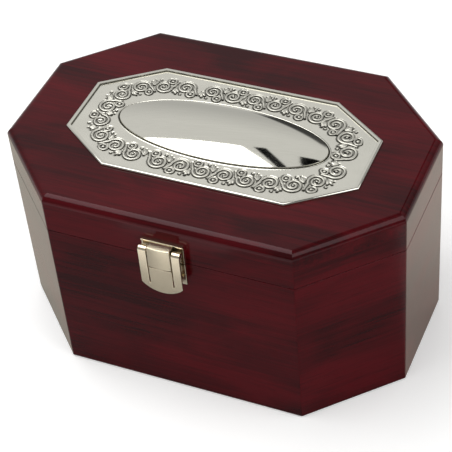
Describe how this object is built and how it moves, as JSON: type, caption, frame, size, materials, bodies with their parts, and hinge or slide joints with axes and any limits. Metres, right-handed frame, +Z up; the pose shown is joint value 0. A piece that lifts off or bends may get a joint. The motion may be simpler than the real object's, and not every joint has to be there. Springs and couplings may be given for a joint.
{
  "type": "etrog box",
  "caption": "Eight-sided lacquered wooden box for an etrog, with a hinged lid, a pressed silver plaque with a bare oval dome, a spring hasp, and a lined inside with a cushion for the fruit.",
  "frame": {"origin": "middle of the underside, on the surface that the box stands on", "axes": "+X along the length to the right as seen from the front, +Y toward the hinges at the back, +Z up"},
  "size_m": [0.17, 0.118, 0.0952],
  "materials": {
    "lacquered_wood": "high-gloss clear lacquer over dark red stain",
    "silver_plate": "polished silver plate with darkened recesses",
    "nickel": "warm nickel plate",
    "lining": "ivory velour",
    "felt": "dark felt"
  },
  "bodies": {
    "box": {"base_wall_front": "lacquered_wood", "base_wall_front_right": "lacquered_wood", "base_wall_right": "lacquered_wood", "base_wall_back_right": "lacquered_wood", "base_wall_back": "lacquered_wood", "base_wall_back_left": "lacquered_wood", "base_wall_left": "lacquered_wood", "base_wall_front_left": "lacquered_wood", "base_panel": "lacquered_wood", "base_felt": "felt", "wall_lining": "lining", "floor_cushion": "lining", "catch_plate": "nickel", "catch_plate_screws": "nickel", "hinge_base_leaf_left": "nickel", "hinge_base_leaf_right": "nickel", "hinge_pin_left": "nickel", "hinge_pin_right": "nickel", "hinge_base_screws": "nickel"},
    "lid": {"lid_rail_front": "lacquered_wood", "lid_rail_front_right": "lacquered_wood", "lid_rail_right": "lacquered_wood", "lid_rail_back_right": "lacquered_wood", "lid_rail_back": "lacquered_wood", "lid_rail_back_left": "lacquered_wood", "lid_rail_left": "lacquered_wood", "lid_rail_front_left": "lacquered_wood", "lid_panel": "lacquered_wood", "lid_pad": "lining", "plaque": "silver_plate", "hasp_plate": "nickel", "hasp_plate_screws": "nickel", "hasp_pin": "nickel", "hinge_lid_leaf_left": "nickel", "hinge_lid_leaf_right": "nickel", "hinge_lid_screws": "nickel"},
    "flap": {"hasp_flap": "nickel"}
  },
  "joints": [
    {"name": "lid_hinge", "type": "hinge", "parent": "box", "child": "lid", "pos_m": [0, 0.0544, 0.074], "axis": [-1, 0, 0], "range_deg": [0, 95]},
    {"name": "flap_pivot", "type": "hinge", "parent": "lid", "child": "flap", "pos_m": [-0.001, -0.0598, 0.0804], "axis": [-1, 0, 0], "range_deg": [0, 100]}
  ]
}
